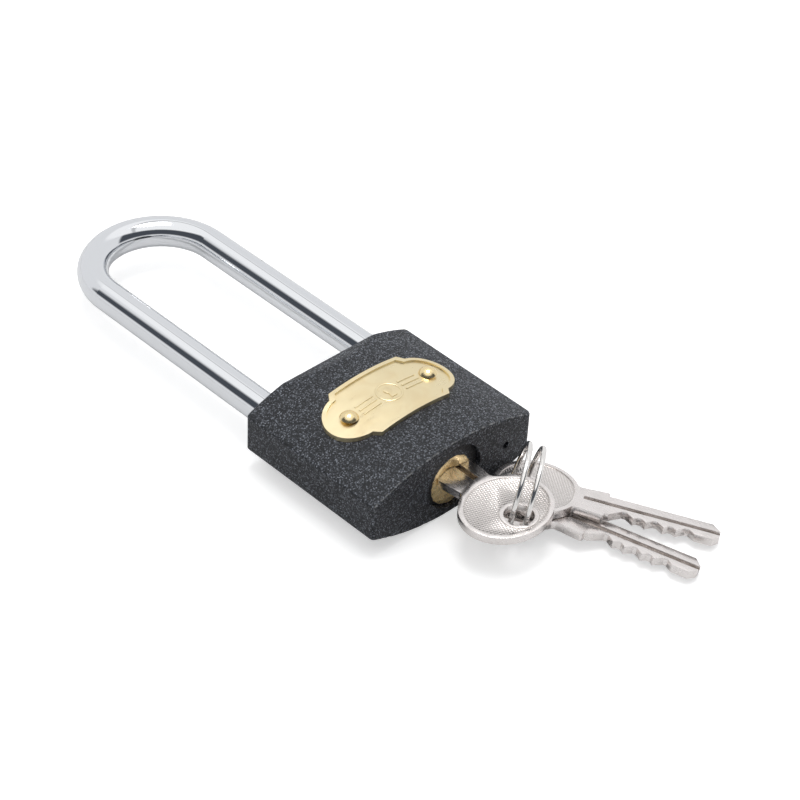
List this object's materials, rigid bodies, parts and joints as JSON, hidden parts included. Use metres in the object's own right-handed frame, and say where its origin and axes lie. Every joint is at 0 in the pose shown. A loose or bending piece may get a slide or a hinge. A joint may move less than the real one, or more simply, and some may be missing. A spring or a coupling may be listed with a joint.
{
  "type": "padlock",
  "caption": "Domed rectangular padlock with a long round shackle, a riveted oval badge, and keys on a split ring with one key in the lock.",
  "frame": {"origin": "middle of the flat on the back of the body, where the lock lies", "axes": "+X across the body's width, +Y towards the bow of the shackle, +Z out of the badge face"},
  "size_m": [0.0644, 0.1754, 0.0222],
  "materials": {
    "body_paint": "near-black speckled textured paint over cast iron",
    "shackle_chrome": "bright chrome plate, finely pitted",
    "badge_brass": "pale satin brass sheet with a polished rim",
    "rivet_brass": "bright polished brass",
    "cylinder_brass": "turned brass",
    "key_nickel": "satin nickel plate with a knurled bow",
    "ring_nickel": "bright nickel plate",
    "bolt_steel": "plain machined steel",
    "spring_steel": "drawn spring wire"
  },
  "bodies": {
    "lock": {"lock_body": "body_paint", "badge_plate": "badge_brass", "badge_rivets": "rivet_brass", "cylinder_shell": "cylinder_brass", "cylinder_pin": "bolt_steel", "driver_pins": "cylinder_brass", "pin_springs": "spring_steel", "chamber_plugs": "body_paint", "bolt_spring": "spring_steel", "bolt_bore_plug": "body_paint", "shackle_pin": "body_paint", "shackle_spring": "spring_steel"},
    "plug": {"plug": "cylinder_brass", "plug_clip": "spring_steel", "drive_cam": "bolt_steel", "key_pins": "cylinder_brass", "key_1": "key_nickel"},
    "bolt": {"bolt": "bolt_steel"},
    "shackle": {"shackle": "shackle_chrome"},
    "ring": {"split_ring": "ring_nickel"},
    "key_2": {"key_2": "key_nickel"},
    "key_3": {"key_3": "key_nickel"}
  },
  "joints": [
    {"name": "plug_turn", "type": "hinge", "parent": "lock", "child": "plug", "pos_m": [0, 0, 0.01017], "axis": [0, -1, 0], "range_deg": [0, 90]},
    {"name": "bolt_slide", "type": "slide", "parent": "lock", "child": "bolt", "axis": [1, 0, 0], "range_m": [0, 0.005], "deforming": ["bolt_spring"]},
    {"name": "shackle_lift", "type": "slide", "parent": "lock", "child": "shackle", "axis": [0, 1, 0], "range_m": [0, 0.01546], "deforming": ["shackle_spring"]},
    {"name": "ring_swing", "type": "hinge", "parent": "plug", "child": "ring", "pos_m": [0.0008, -0.04035, 0.01017], "axis": [0, 0, 1], "range_deg": [-25, 0]},
    {"name": "key_2_swing", "type": "hinge", "parent": "ring", "child": "key_2", "pos_m": [0.01297, -0.0292, 0.00561], "axis": [0.2213, 0.0428, 0.9743], "range_deg": [-18, 6]},
    {"name": "key_3_swing", "type": "hinge", "parent": "ring", "child": "key_3", "pos_m": [0.01023, -0.02891, 0.0039], "axis": [0.2312, 0.0335, 0.9723], "range_deg": [-3, 8]}
  ],
  "couplings": [
    {"joint": "bolt_slide", "follows": "plug_turn", "m_per_rad": 0.003183},
    {"joint": "shackle_lift", "follows": "plug_turn", "m_per_rad": 0.009842}
  ]
}
